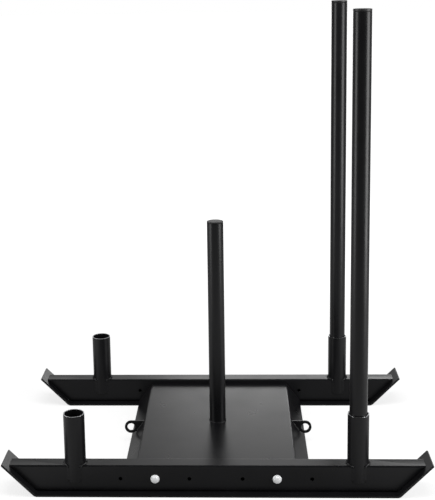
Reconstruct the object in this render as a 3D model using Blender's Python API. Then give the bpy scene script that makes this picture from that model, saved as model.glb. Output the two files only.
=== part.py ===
"""Weight sled: two skid runners, a bent deck with a plate post, four pole sleeves and two push poles.

Units are metres, +Z is up. The origin is on the ground under the middle of the sled.
+X is the rear, where the push poles stand, and the sled is pushed towards -X.
Left is -Y and right is +Y.
"""

import math

import bmesh
import bpy

# Whole sled
LENGTH = 1.210
RUNNER_SPACING = 0.650
FIT_GAP = 0.0003
ROUND_STEPS = 48
SMALL_ROUND_STEPS = 24

# Runners: a flat bar bent up at both ends, with a rectangular tube standing on it
SKID_WIDTH = 0.100
SKID_THICKNESS = 0.006
SKID_TIP_HEIGHT = 0.093
SKID_BEND_RADIUS = 0.018
BEND_STEPS = 5
BEAM_WIDTH = 0.050
BEAM_TOP = 0.083
BEAM_WALL = 0.003
BEAM_CORNER_RADIUS = 0.005
BEAM_CORNER_STEPS = 3
BEAM_TOE_RELIEF = 0.0035

# Pole sleeves, set down into the tops of the beams, each with a welded floor
SLEEVE_X = 0.400
SLEEVE_DIAMETER = 0.060
SLEEVE_WALL = 0.003
SLEEVE_BOTTOM = 0.033
SLEEVE_TOP = 0.230
FLOOR_THICKNESS = 0.004

# Push poles and weight post
POLE_DIAMETER = 0.050
POLE_WALL = 0.003
POLE_TOP = 1.350
POLE_CAP_HEAD = 0.007
POST_TOP = 0.707
POST_CAP_HEAD = 0.004
CAP_PLUG_LENGTH = 0.020
CAP_EDGE = 0.0015
FOOT_PLATE_WIDTH = 0.120
FOOT_PLATE_THICKNESS = 0.006

# Deck: one sheet bent down at the front and rear, closed by a plate at each side
DECK_TOP = 0.070
DECK_HALF_TOP = 0.227
DECK_HALF_FOOT = 0.273
DECK_FOOT_HEIGHT = 0.009
DECK_THICKNESS = 0.004
DECK_BEND_RADIUS = 0.008
END_PLATE_THICKNESS = 0.005
END_PLATE_FOOT = 0.014
END_PLATE_CORNER = 0.006

# Tow lugs: flat plates with an eye, on the deck's slopes just below its folds
LUG_X = 0.272
LUG_HEIGHT = 0.046
LUG_RADIUS = 0.020
LUG_EYE_RADIUS = 0.012
LUG_THICKNESS = 0.006
LUG_ARC_STEPS = 20
LUG_ARC_END = math.radians(-135)

# M10 fasteners through the beams and the deck's end plates
BOLT_X = 0.172
SPARE_HOLE_X = (0.075, 0.270)
BOLT_HEIGHT = 0.044
HOLE_DIAMETER = 0.011
BOLT_DIAMETER = 0.010
BOLT_HEAD_FLATS = 0.016
BOLT_HEAD_HEIGHT = 0.0064
WASHER_DIAMETER = 0.025
WASHER_THICKNESS = 0.0025
NUT_FLATS = 0.016
NUT_HEIGHT = 0.0084
BOLT_PROTRUSION = 0.0025

# Colour, roughness and metallic value of each finish
POWDER_COAT = ((0.012, 0.012, 0.014), 0.42, 0.0)
CAP_PLASTIC = ((0.009, 0.009, 0.010), 0.5, 0.0)
BRIGHT_ZINC = ((0.56, 0.57, 0.58), 0.28, 1.0)

SIDES = (("left", -1), ("right", 1))
ENDS = (("front", -1), ("rear", 1))

RUNNER_Y = RUNNER_SPACING / 2
BEAM_INNER_Y = RUNNER_Y - BEAM_WIDTH / 2
BEAM_OUTER_Y = RUNNER_Y + BEAM_WIDTH / 2
SLEEVE_FLOOR_TOP = SLEEVE_BOTTOM + FLOOR_THICKNESS
DECK_UNDERSIDE = DECK_TOP - DECK_THICKNESS
DECK_SLOPE = math.atan2(DECK_TOP - DECK_FOOT_HEIGHT, DECK_HALF_FOOT - DECK_HALF_TOP)


def clear_scene():
    for item in list(bpy.data.objects):
        bpy.data.objects.remove(item, do_unlink=True)


def finish_material(name, finish):
    colour, roughness, metallic = finish
    material = bpy.data.materials.new(name + "_finish")
    material.use_nodes = True
    shader = material.node_tree.nodes["Principled BSDF"]
    shader.inputs["Base Color"].default_value = (*colour, 1.0)
    shader.inputs["Roughness"].default_value = roughness
    shader.inputs["Metallic"].default_value = metallic
    return material


def add_object(name, mesh_data, finish, location=(0.0, 0.0, 0.0)):
    """Turns a bmesh in the object's own coordinates into a named object at a place."""
    mesh = bpy.data.meshes.new(name)
    bmesh.ops.recalc_face_normals(mesh_data, faces=mesh_data.faces)
    mesh_data.to_mesh(mesh)
    mesh_data.free()
    mesh.shade_smooth()
    mesh.set_sharp_from_angle(angle=math.radians(32))
    item = bpy.data.objects.new(name, mesh)
    item.location = location
    bpy.context.scene.collection.objects.link(item)
    if finish is not None:
        mesh.materials.append(finish_material(name, finish))
    return item


def cut_away(item, cutter):
    """Subtracts a hidden cutter from an object."""
    cutter.hide_render = True
    cutter.display_type = "WIRE"
    modifier = item.modifiers.new(cutter.name, "BOOLEAN")
    modifier.operation = "DIFFERENCE"
    modifier.solver = "EXACT"
    modifier.object = cutter


def circle_points(radius, steps):
    turns = [2 * math.pi * step / steps for step in range(steps)]
    return [(radius * math.cos(turn), radius * math.sin(turn)) for turn in turns]


def add_loops(mesh_data, loops, closed):
    """Skins a list of equal point loops; closed joins the last loop to the first."""
    rows = [[mesh_data.verts.new(point) for point in loop] for loop in loops]
    count = len(rows[0])
    pairs = list(zip(rows, rows[1:]))
    if closed:
        pairs.append((rows[-1], rows[0]))
    for lower, upper in pairs:
        for index in range(count):
            following = (index + 1) % count
            mesh_data.faces.new((lower[index], lower[following], upper[following], upper[index]))
    if not closed:
        mesh_data.faces.new(rows[0])
        mesh_data.faces.new(rows[-1])


def turned_loops(profile, steps, axis="Z", offset=(0.0, 0.0, 0.0)):
    """Circles for a turned shape: profile is (radius, height) pairs along the axis."""
    loops = []
    for radius, height in profile:
        loop = []
        for across, along in circle_points(radius, steps):
            point = (across, along, height) if axis == "Z" else (across, height, along)
            loop.append(tuple(value + shift for value, shift in zip(point, offset)))
        loops.append(loop)
    return loops


def tube_mesh(outer_radius, wall, bottom, top):
    inner_radius = outer_radius - wall
    profile = ((outer_radius, bottom), (outer_radius, top), (inner_radius, top), (inner_radius, bottom))
    mesh_data = bmesh.new()
    add_loops(mesh_data, turned_loops(profile, ROUND_STEPS), closed=True)
    return mesh_data


def prism(mesh_data, outline, start, end):
    """Extrudes an outline of (x, z) points along Y."""
    loops = [[(x, y, z) for x, z in outline] for y in (start, end)]
    add_loops(mesh_data, loops, closed=False)


def hexagon(flats, centre):
    radius = flats / math.sqrt(3)
    return [
        (centre[0] + radius * math.cos(math.radians(60 * corner)),
         centre[1] + radius * math.sin(math.radians(60 * corner)))
        for corner in range(6)
    ]


def bent_strip(path, thickness, radius, steps):
    """Outline of a strip bent to the left of its path; the path is the outer face of each bend."""
    outer, inner = [], []

    def left_normal(start, end):
        run = math.hypot(end[0] - start[0], end[1] - start[1])
        return (-(end[1] - start[1]) / run, (end[0] - start[0]) / run)

    normals = [left_normal(start, end) for start, end in zip(path, path[1:])]
    for index, point in enumerate(path):
        if index in (0, len(path) - 1):
            normal = normals[0] if index == 0 else normals[-1]
            outer.append(point)
            inner.append((point[0] + normal[0] * thickness, point[1] + normal[1] * thickness))
            continue
        first = math.atan2(normals[index - 1][1], normals[index - 1][0])
        turn = math.atan2(normals[index][1], normals[index][0]) - first
        turn = (turn + math.pi) % (2 * math.pi) - math.pi
        reach = radius / math.cos(turn / 2)
        middle = first + turn / 2
        centre = (point[0] + reach * math.cos(middle), point[1] + reach * math.sin(middle))
        for step in range(steps + 1):
            angle = first + turn * step / steps
            for side, side_radius in ((outer, radius), (inner, radius - thickness)):
                side.append((centre[0] - side_radius * math.cos(angle),
                             centre[1] - side_radius * math.sin(angle)))
    return outer + inner[::-1]


def make_skids():
    foot = LENGTH / 2 - SKID_TIP_HEIGHT
    path = ((-LENGTH / 2, SKID_TIP_HEIGHT), (-foot, 0.0), (foot, 0.0), (LENGTH / 2, SKID_TIP_HEIGHT))
    outline = bent_strip(path, SKID_THICKNESS, SKID_BEND_RADIUS, BEND_STEPS)
    for side, sign in SIDES:
        mesh_data = bmesh.new()
        prism(mesh_data, outline, -SKID_WIDTH / 2, SKID_WIDTH / 2)
        add_object(side + "_skid", mesh_data, POWDER_COAT, (0.0, sign * RUNNER_Y, 0.0))


def rounded_section(width, bottom, top, radius, steps):
    """Points (y, z) round a rectangle with round corners."""
    points = []
    corners = (
        (width / 2 - radius, bottom + radius, -90),
        (width / 2 - radius, top - radius, 0),
        (-width / 2 + radius, top - radius, 90),
        (-width / 2 + radius, bottom + radius, 180),
    )
    for across, height, start in corners:
        for step in range(steps + 1):
            angle = math.radians(start + 90 * step / steps)
            points.append((across + radius * math.cos(angle), height + radius * math.sin(angle)))
    return points


def beam_end(height):
    """Half length of the beam at a height: its ends are mitred to lie on the skid's raised ends."""
    mitre = LENGTH / 2 - SKID_TIP_HEIGHT - (SKID_THICKNESS + FIT_GAP) * math.sqrt(2)
    toe = SKID_THICKNESS + BEAM_CORNER_RADIUS
    return mitre + height - (BEAM_TOE_RELIEF if height < toe else 0.0)


def beam_mesh():
    bottom = SKID_THICKNESS + FIT_GAP
    outer = rounded_section(BEAM_WIDTH, bottom, BEAM_TOP, BEAM_CORNER_RADIUS, BEAM_CORNER_STEPS)
    inner = rounded_section(
        BEAM_WIDTH - 2 * BEAM_WALL, bottom + BEAM_WALL, BEAM_TOP - BEAM_WALL,
        BEAM_CORNER_RADIUS - BEAM_WALL, BEAM_CORNER_STEPS)
    loops = []
    for section, sign in ((outer, -1), (outer, 1), (inner, 1), (inner, -1)):
        loops.append([(sign * beam_end(z), y, z) for y, z in section])
    mesh_data = bmesh.new()
    add_loops(mesh_data, loops, closed=True)
    return mesh_data


def make_beams():
    """Rectangular tubes, cut out for two sleeves and drilled for the deck bolts and the spare holes."""
    for side, sign in SIDES:
        beam = add_object(side + "_runner_beam", beam_mesh(), POWDER_COAT, (0.0, sign * RUNNER_Y, 0.0))
        cutter_mesh = bmesh.new()
        pocket = ((SLEEVE_DIAMETER / 2 + FIT_GAP, SLEEVE_BOTTOM - FIT_GAP),
                  (SLEEVE_DIAMETER / 2 + FIT_GAP, BEAM_TOP + BEAM_WIDTH))
        bore = ((HOLE_DIAMETER / 2, -BEAM_WIDTH), (HOLE_DIAMETER / 2, BEAM_WIDTH))
        for _, end_sign in ENDS:
            place = (end_sign * SLEEVE_X, 0.0, 0.0)
            add_loops(cutter_mesh, turned_loops(pocket, ROUND_STEPS, "Z", place), closed=False)
            for hole_x in (BOLT_X, *SPARE_HOLE_X):
                place = (end_sign * hole_x, 0.0, BOLT_HEIGHT)
                add_loops(cutter_mesh, turned_loops(bore, SMALL_ROUND_STEPS, "Y", place), closed=False)
        cutter = add_object(side + "_beam_cutter", cutter_mesh, None, (0.0, sign * RUNNER_Y, 0.0))
        cut_away(beam, cutter)


def make_sleeves():
    radius = SLEEVE_DIAMETER / 2
    floor_radius = radius - SLEEVE_WALL - FIT_GAP
    floor = ((floor_radius, SLEEVE_BOTTOM), (floor_radius, SLEEVE_FLOOR_TOP))
    for end, end_sign in ENDS:
        for side, sign in SIDES:
            place = (end_sign * SLEEVE_X, sign * RUNNER_Y, 0.0)
            tube = tube_mesh(radius, SLEEVE_WALL, SLEEVE_BOTTOM, SLEEVE_TOP)
            add_object(end + "_" + side + "_sleeve", tube, POWDER_COAT, place)
            disc = bmesh.new()
            add_loops(disc, turned_loops(floor, ROUND_STEPS), closed=False)
            add_object(end + "_" + side + "_sleeve_floor", disc, POWDER_COAT, place)


def cap_mesh(head_height):
    """Push-in tube cap: a head as wide as the tube over a plug that fills its bore, from its seat up."""
    head_radius = POLE_DIAMETER / 2
    plug_radius = head_radius - POLE_WALL - FIT_GAP
    profile = (
        (plug_radius - CAP_EDGE, -CAP_PLUG_LENGTH),
        (plug_radius, -CAP_PLUG_LENGTH + CAP_EDGE),
        (plug_radius, 0.0),
        (head_radius, 0.0),
        (head_radius, head_height - CAP_EDGE),
        (head_radius - CAP_EDGE, head_height),
    )
    mesh_data = bmesh.new()
    add_loops(mesh_data, turned_loops(profile, ROUND_STEPS), closed=False)
    return mesh_data


def make_push_poles():
    """Loose poles that stand on the rear sleeves' floors; their origins are on the sleeves' axes."""
    pole_bottom = SLEEVE_FLOOR_TOP + FIT_GAP
    cap_seat = POLE_TOP - POLE_CAP_HEAD
    pole_length = cap_seat - FIT_GAP - pole_bottom
    for side, sign in SIDES:
        foot = (SLEEVE_X, sign * RUNNER_Y, pole_bottom)
        pole = add_object(
            side + "_push_pole", tube_mesh(POLE_DIAMETER / 2, POLE_WALL, 0.0, pole_length), POWDER_COAT, foot)
        cap = add_object(
            side + "_pole_cap", cap_mesh(POLE_CAP_HEAD), CAP_PLASTIC, (0.0, 0.0, cap_seat - pole_bottom))
        cap.parent = pole


def make_weight_post():
    """Post for the plates: it passes through the deck onto a square foot plate welded below."""
    post_bottom = DECK_UNDERSIDE
    cap_seat = POST_TOP - POST_CAP_HEAD
    add_object(
        "weight_post", tube_mesh(POLE_DIAMETER / 2, POLE_WALL, post_bottom, cap_seat - FIT_GAP), POWDER_COAT)
    add_object("weight_post_cap", cap_mesh(POST_CAP_HEAD), CAP_PLASTIC, (0.0, 0.0, cap_seat))
    plate_top = DECK_UNDERSIDE - FIT_GAP
    half = FOOT_PLATE_WIDTH / 2
    outline = ((-half, plate_top - FOOT_PLATE_THICKNESS), (half, plate_top - FOOT_PLATE_THICKNESS),
               (half, plate_top), (-half, plate_top))
    mesh_data = bmesh.new()
    prism(mesh_data, outline, -half, half)
    add_object("post_foot_plate", mesh_data, POWDER_COAT)


def make_deck():
    path = ((DECK_HALF_FOOT, DECK_FOOT_HEIGHT), (DECK_HALF_TOP, DECK_TOP),
            (-DECK_HALF_TOP, DECK_TOP), (-DECK_HALF_FOOT, DECK_FOOT_HEIGHT))
    half_width = BEAM_INNER_Y - FIT_GAP
    mesh_data = bmesh.new()
    prism(mesh_data, bent_strip(path, DECK_THICKNESS, DECK_BEND_RADIUS, BEND_STEPS), -half_width, half_width)
    deck = add_object("deck_plate", mesh_data, POWDER_COAT)
    cutter_mesh = bmesh.new()
    hole = ((POLE_DIAMETER / 2 + FIT_GAP, 0.0), (POLE_DIAMETER / 2 + FIT_GAP, DECK_TOP * 2))
    add_loops(cutter_mesh, turned_loops(hole, ROUND_STEPS), closed=False)
    cut_away(deck, add_object("deck_cutter", cutter_mesh, None))


def inner_deck_x(height):
    """Half width of the space between the deck's sloping ends, at a height."""
    slope_x = DECK_HALF_TOP + (DECK_TOP - height) / math.tan(DECK_SLOPE)
    return slope_x - (DECK_THICKNESS + FIT_GAP) / math.sin(DECK_SLOPE)


def make_end_plates():
    """Plates that close the deck's sides and carry the bolts to the beams."""
    top = DECK_UNDERSIDE - FIT_GAP
    shoulder = top - END_PLATE_CORNER
    right_half = ((inner_deck_x(END_PLATE_FOOT), END_PLATE_FOOT), (inner_deck_x(shoulder), shoulder),
                  (inner_deck_x(top) - END_PLATE_CORNER, top))
    outline = right_half + tuple((-x, z) for x, z in reversed(right_half))
    bore = ((HOLE_DIAMETER / 2, -BEAM_WIDTH), (HOLE_DIAMETER / 2, BEAM_WIDTH))
    for side, sign in SIDES:
        outer_y = sign * (BEAM_INNER_Y - FIT_GAP)
        mesh_data = bmesh.new()
        prism(mesh_data, outline, 0.0, -sign * END_PLATE_THICKNESS)
        plate = add_object("deck_" + side + "_end_plate", mesh_data, POWDER_COAT, (0.0, outer_y, 0.0))
        cutter_mesh = bmesh.new()
        for _, end_sign in ENDS:
            place = (end_sign * BOLT_X, 0.0, BOLT_HEIGHT)
            add_loops(cutter_mesh, turned_loops(bore, SMALL_ROUND_STEPS, "Y", place), closed=False)
        cut_away(plate, add_object(side + "_end_plate_cutter", cutter_mesh, None, (0.0, outer_y, 0.0)))


def make_tow_lugs():
    lug_top = LUG_HEIGHT + LUG_RADIUS
    root_gap = FIT_GAP / math.sin(DECK_SLOPE)

    def deck_face_x(height):
        return DECK_HALF_TOP + (DECK_TOP - height) / math.tan(DECK_SLOPE) + root_gap

    arc = []
    for step in range(LUG_ARC_STEPS + 1):
        angle = math.pi / 2 + (LUG_ARC_END - math.pi / 2) * step / LUG_ARC_STEPS
        arc.append((LUG_X + LUG_RADIUS * math.cos(angle), LUG_HEIGHT + LUG_RADIUS * math.sin(angle)))
    root_height = arc[-1][1]
    outline = [(deck_face_x(lug_top), lug_top), *arc, (deck_face_x(root_height), root_height)]
    eye = ((LUG_EYE_RADIUS, -LUG_THICKNESS), (LUG_EYE_RADIUS, LUG_THICKNESS))
    for end, end_sign in ENDS:
        mesh_data = bmesh.new()
        mirrored = [(end_sign * x, z) for x, z in outline]
        prism(mesh_data, mirrored, -LUG_THICKNESS / 2, LUG_THICKNESS / 2)
        lug = add_object(end + "_tow_lug", mesh_data, POWDER_COAT)
        cutter_mesh = bmesh.new()
        place = (end_sign * LUG_X, 0.0, LUG_HEIGHT)
        add_loops(cutter_mesh, turned_loops(eye, 2 * SMALL_ROUND_STEPS, "Y", place), closed=False)
        cut_away(lug, add_object(end + "_lug_cutter", cutter_mesh, None))


def add_bolt(mesh_data, centre, head_seat, head_top, shank_end):
    """One bolt as a single body: its hexagon head and, on one end, a round shank."""
    ring_steps = SMALL_ROUND_STEPS
    outer = [mesh_data.verts.new((x, head_top, z)) for x, z in hexagon(BOLT_HEAD_FLATS, centre)]
    seat = [mesh_data.verts.new((x, head_seat, z)) for x, z in hexagon(BOLT_HEAD_FLATS, centre)]
    shank = turned_loops(((BOLT_DIAMETER / 2, head_seat), (BOLT_DIAMETER / 2, shank_end)), ring_steps, "Y",
                         (centre[0], 0.0, centre[1]))
    root, tip = [[mesh_data.verts.new(point) for point in loop] for loop in shank]
    mesh_data.faces.new(outer)
    mesh_data.faces.new(tip)
    per_side = ring_steps // 6
    for corner in range(6):
        following = (corner + 1) % 6
        mesh_data.faces.new((outer[corner], outer[following], seat[following], seat[corner]))
        fan = [root[(corner * per_side + step) % ring_steps] for step in range(per_side + 1)]
        mesh_data.faces.new((seat[corner], seat[following], *reversed(fan)))
    for index in range(ring_steps):
        following = (index + 1) % ring_steps
        mesh_data.faces.new((root[index], root[following], tip[following], tip[index]))


def add_nut(mesh_data, centre, start, end):
    """One hexagon nut with a plain bore."""
    bore_radius = BOLT_DIAMETER / 2 + FIT_GAP
    rings = []
    for y in (start, end):
        outer = [mesh_data.verts.new((x, y, z)) for x, z in hexagon(NUT_FLATS, centre)]
        bore = [mesh_data.verts.new((centre[0] + across, y, centre[1] + up))
                for across, up in circle_points(bore_radius, SMALL_ROUND_STEPS)]
        rings.append((outer, bore))
    per_side = SMALL_ROUND_STEPS // 6
    for outer, bore in rings:
        for corner in range(6):
            fan = [bore[(corner * per_side + step) % SMALL_ROUND_STEPS] for step in range(per_side + 1)]
            mesh_data.faces.new((outer[corner], outer[(corner + 1) % 6], *reversed(fan)))
    for ring in (0, 1):
        count = len(rings[0][ring])
        for index in range(count):
            following = (index + 1) % count
            mesh_data.faces.new((rings[0][ring][index], rings[0][ring][following],
                                 rings[1][ring][following], rings[1][ring][index]))


def washer_loops(diameter, start, end, centre):
    bore_radius = BOLT_DIAMETER / 2 + FIT_GAP
    profile = ((diameter / 2, start), (diameter / 2, end), (bore_radius, end), (bore_radius, start))
    return turned_loops(profile, SMALL_ROUND_STEPS, "Y", (centre[0], 0.0, centre[1]))


def make_fasteners():
    """Two bolts a side from outside, each with a washer under its head and a nut inside the deck."""
    washer_start = BEAM_OUTER_Y + FIT_GAP
    washer_end = washer_start + WASHER_THICKNESS
    head_seat = washer_end + FIT_GAP
    nut_end = BEAM_INNER_Y - FIT_GAP - END_PLATE_THICKNESS - FIT_GAP
    nut_start = nut_end - NUT_HEIGHT
    for end, end_sign in ENDS:
        for side, sign in SIDES:
            name = end + "_" + side + "_deck_"
            centre = (end_sign * BOLT_X, BOLT_HEIGHT)
            bolt, washer, nut = bmesh.new(), bmesh.new(), bmesh.new()
            add_bolt(bolt, centre, sign * head_seat, sign * (head_seat + BOLT_HEAD_HEIGHT),
                     sign * (nut_start - BOLT_PROTRUSION))
            add_loops(washer, washer_loops(WASHER_DIAMETER, sign * washer_start, sign * washer_end, centre),
                      closed=True)
            add_nut(nut, centre, sign * nut_start, sign * nut_end)
            add_object(name + "bolt", bolt, BRIGHT_ZINC)
            add_object(name + "washer", washer, BRIGHT_ZINC)
            add_object(name + "nut", nut, BRIGHT_ZINC)


clear_scene()
make_skids()
make_beams()
make_sleeves()
make_push_poles()
make_weight_post()
make_deck()
make_end_plates()
make_tow_lugs()
make_fasteners()
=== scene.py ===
"""Weight sled: a black steel push sled with a plate post, four pole sleeves and two loose push poles.

Metres, +Z up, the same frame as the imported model: +X is the rear, where the poles stand, and left is -Y.
The sections follow the sled as it is put together.
"""

import math

import bmesh
import bpy
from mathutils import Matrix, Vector


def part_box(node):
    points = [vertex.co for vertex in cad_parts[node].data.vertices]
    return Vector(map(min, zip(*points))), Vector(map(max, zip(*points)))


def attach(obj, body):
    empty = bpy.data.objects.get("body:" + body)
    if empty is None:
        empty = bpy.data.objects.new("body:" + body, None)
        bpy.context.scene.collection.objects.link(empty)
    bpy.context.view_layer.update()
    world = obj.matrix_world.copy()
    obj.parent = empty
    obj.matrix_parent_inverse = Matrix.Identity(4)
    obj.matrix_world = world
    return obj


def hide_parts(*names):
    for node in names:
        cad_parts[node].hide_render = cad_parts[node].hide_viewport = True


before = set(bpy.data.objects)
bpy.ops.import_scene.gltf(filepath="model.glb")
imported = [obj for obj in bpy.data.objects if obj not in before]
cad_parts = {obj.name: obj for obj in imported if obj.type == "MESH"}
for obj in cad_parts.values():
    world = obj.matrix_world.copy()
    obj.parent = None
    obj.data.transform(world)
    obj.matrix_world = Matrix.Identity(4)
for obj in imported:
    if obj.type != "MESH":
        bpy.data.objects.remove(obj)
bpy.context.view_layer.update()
for old in [item for item in bpy.data.objects if item.type in {"CAMERA", "LIGHT"}]:
    bpy.data.objects.remove(old)


# Skids
# Two flat steel bars, 100 x 6 mm, with both ends bent up at 45 degrees so the sled glides over turf.
# They are bent cold, welded under the beams and powder coated black with all the rest of the steel.

SKID_REACH = 0.605
SKID_TIP = 0.093
SKID_WIDTH = 0.100
SKID_THICKNESS = 0.006
SKID_BEND = 0.018
SKID_BEND_STEPS = 16
SKID_EDGE = 0.0008
RUNNER_Y = 0.325
SIDES = (("left", -1), ("right", 1))
# Nearly all of a noise texture's values lie between these two.
NOISE_LOW, NOISE_HIGH = 0.3, 0.7


def linear(hex_colour):
    """An sRGB hex colour as the linear value that the shaders take."""
    parts = [int(hex_colour[at:at + 2], 16) / 255 for at in (1, 3, 5)]
    return (*[p / 12.92 if p <= 0.04045 else ((p + 0.055) / 1.055) ** 2.4 for p in parts], 1.0)


def fill(tree, node, inputs):
    """Fills a node's inputs with values or with other nodes' outputs."""
    for socket, value in inputs.items():
        if isinstance(value, bpy.types.NodeSocket):
            tree.links.new(value, node.inputs[socket])
        else:
            node.inputs[socket].default_value = value


def add_node(tree, kind, settings=None, inputs=None):
    """Adds a node, sets its properties and fills its inputs."""
    node = tree.nodes.new(kind)
    for name, value in (settings or {}).items():
        setattr(node, name, value)
    fill(tree, node, inputs or {})
    return node


def new_finish(name):
    """A new material with its tree, its shader and the coordinates on the piece."""
    material = bpy.data.materials.new(name)
    material.use_nodes = True
    tree = material.node_tree
    place = add_node(tree, "ShaderNodeTexCoord").outputs["Object"]
    return material, tree, tree.nodes["Principled BSDF"], place


def powder_coated_steel(name="powder_coated_steel", highlight_above=None):
    """Polyester powder baked on steel: satin black, with a faint orange peel about 4 mm across.

    Above the given height the coat is painted pale grey metal, a painted highlight for the light line along a
    rim.
    """
    material, tree, shader, place = new_finish(name)
    # The powder lies a little thicker and thinner over a hand's breadth, which shifts colour and gloss.
    cloud = add_node(tree, "ShaderNodeTexNoise", inputs={"Vector": place, "Scale": 11.0, "Detail": 3.0})
    shade = add_node(tree, "ShaderNodeMix", {"data_type": "RGBA"}, {
        "Factor": cloud.outputs["Fac"], "A": linear("#0b0b0c"), "B": linear("#111113")})
    gloss = add_node(tree, "ShaderNodeMapRange", inputs={
        "Value": cloud.outputs["Fac"], "From Min": NOISE_LOW, "From Max": NOISE_HIGH,
        "To Min": 0.27, "To Max": 0.34})
    # A painted highlight: above that height the colour is pale grey metal, standing in for the light line
    # along a rim.
    if highlight_above is not None:
        parts = add_node(tree, "ShaderNodeSeparateXYZ", inputs={"Vector": place})
        highlight_mask = add_node(tree, "ShaderNodeMath", {"operation": "GREATER_THAN"}, {
            0: parts.outputs["Z"], 1: highlight_above})
        shade = add_node(tree, "ShaderNodeMix", {"data_type": "RGBA"}, {
            "Factor": highlight_mask.outputs["Value"], "A": shade.outputs["Result"], "B": linear("#c8c9cb")})
        fill(tree, shader, {"Metallic": highlight_mask.outputs["Value"]})
    # Orange peel is 2 to 5 mm across, and the powder's own grain about 0.8 mm.
    peel = add_node(tree, "ShaderNodeTexNoise", inputs={"Vector": place, "Scale": 250.0, "Detail": 1.0})
    grain = add_node(tree, "ShaderNodeTexNoise", inputs={"Vector": place, "Scale": 1250.0, "Detail": 1.0})
    height = add_node(tree, "ShaderNodeMath", {"operation": "MULTIPLY_ADD"}, {
        0: grain.outputs["Fac"], 1: 0.2, 2: peel.outputs["Fac"]})
    bump = add_node(tree, "ShaderNodeBump", inputs={
        "Strength": 0.5, "Distance": 0.00001, "Height": height.outputs["Value"]})
    fill(tree, shader, {"IOR": 1.36, "Base Color": shade.outputs["Result"],
                        "Roughness": gloss.outputs["Result"], "Normal": bump.outputs["Normal"]})
    return material


def folded_strip(path, thickness, radius, steps):
    """Outline of a strip folded to the left of its path; the path is the outer face of each fold."""
    normals = []
    for start, end in zip(path, path[1:]):
        run = math.dist(start, end)
        normals.append((-(end[1] - start[1]) / run, (end[0] - start[0]) / run))
    outer, inner = [], []
    for index, point in enumerate(path):
        if index in (0, len(path) - 1):
            normal = normals[0] if index == 0 else normals[-1]
            outer.append(point)
            inner.append((point[0] + normal[0] * thickness, point[1] + normal[1] * thickness))
            continue
        first = math.atan2(normals[index - 1][1], normals[index - 1][0])
        turn = math.atan2(normals[index][1], normals[index][0]) - first
        turn = (turn + math.pi) % (2 * math.pi) - math.pi
        reach = radius / math.cos(turn / 2)
        middle = first + turn / 2
        centre = (point[0] + reach * math.cos(middle), point[1] + reach * math.sin(middle))
        for step in range(steps + 1):
            angle = first + turn * step / steps
            for face, face_radius in ((outer, radius), (inner, radius - thickness)):
                face.append((centre[0] - face_radius * math.cos(angle),
                             centre[1] - face_radius * math.sin(angle)))
    return outer + inner[::-1]


def skin_loops(shell, loops, closed):
    """Joins equal loops of points with quads; closed joins the last loop to the first."""
    rows = [[shell.verts.new(point) for point in loop] for loop in loops]
    pairs = list(zip(rows, rows[1:])) + ([(rows[-1], rows[0])] if closed else [])
    for lower, upper in pairs:
        for index in range(len(lower)):
            after = (index + 1) % len(lower)
            shell.faces.new((lower[index], lower[after], upper[after], upper[index]))
    if not closed:
        shell.faces.new(rows[0])
        shell.faces.new(rows[-1])


def cut_plate(outline, start, end):
    """A plate cut to an outline of (x, z) points, from one Y to another."""
    shell = bmesh.new()
    skin_loops(shell, [[(x, y, z) for x, z in outline] for y in (start, end)], closed=False)
    return shell


def shell_mesh(name, shell):
    """The shell as a mesh, with its faces turned outwards."""
    bmesh.ops.recalc_face_normals(shell, faces=shell.faces)
    mesh = bpy.data.meshes.new(name)
    shell.to_mesh(mesh)
    shell.free()
    return mesh


def add_object(name, data):
    """A new object in the scene."""
    item = bpy.data.objects.new(name, data)
    bpy.context.scene.collection.objects.link(item)
    return item


def settle(item):
    """Turns what the item's modifiers make into its plain mesh."""
    mesh = bpy.data.meshes.new_from_object(item.evaluated_get(bpy.context.evaluated_depsgraph_get()))
    item.modifiers.clear()
    item.data = mesh
    return mesh


def mount(item, body, nodes):
    """Sets the piece on its body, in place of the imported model's nodes where it has any."""
    if nodes:
        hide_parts(*nodes)
    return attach(item, body)


def make_piece(name, shell, material, body, nodes, edge=0.0, cutters=()):
    """Finishes a shell as a piece: cut, edges broken, flat faces kept flat, in place on its body."""
    item = add_object(name, shell_mesh(name, shell))
    for cutter in cutters:
        cut = item.modifiers.new("cut", "BOOLEAN")
        cut.operation, cut.solver, cut.object = "DIFFERENCE", "EXACT", cutter
    if edge:
        broken = item.modifiers.new("broken_edges", "BEVEL")
        broken.width, broken.segments, broken.limit_method = edge, 3, "ANGLE"
        broken.angle_limit = math.radians(35)
    # The first pass settles the cuts and the broken edges, and the second the normals of the flat faces.
    for _ in range(2):
        mesh = settle(item)
        mesh.shade_smooth()
        mesh.set_sharp_from_angle(angle=math.radians(40))
        flat = item.modifiers.new("flat_faces", "WEIGHTED_NORMAL")
        flat.keep_sharp = True
    item.modifiers.clear()
    mesh.name = name
    mesh.materials.clear()
    mesh.materials.append(material)
    return mount(item, body, nodes)


steel = powder_coated_steel()
skid_foot = SKID_REACH - SKID_TIP
skid_path = ((-SKID_REACH, SKID_TIP), (-skid_foot, 0.0), (skid_foot, 0.0), (SKID_REACH, SKID_TIP))
for side, sign in SIDES:
    skid_y = sign * RUNNER_Y
    bar = cut_plate(folded_strip(skid_path, SKID_THICKNESS, SKID_BEND, SKID_BEND_STEPS),
                    skid_y - SKID_WIDTH / 2, skid_y + SKID_WIDTH / 2)
    make_piece(f"{side}_skid_bar", bar, steel, "frame", [f"{side}_skid"], edge=SKID_EDGE)


# Runner beams
# Rectangular steel tube, 50 mm wide with round corners, mitred at both ends to lie on the skid's slopes.
# Each is bored for two pole sleeves and drilled through for the deck bolts and four spare holes.

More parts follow.
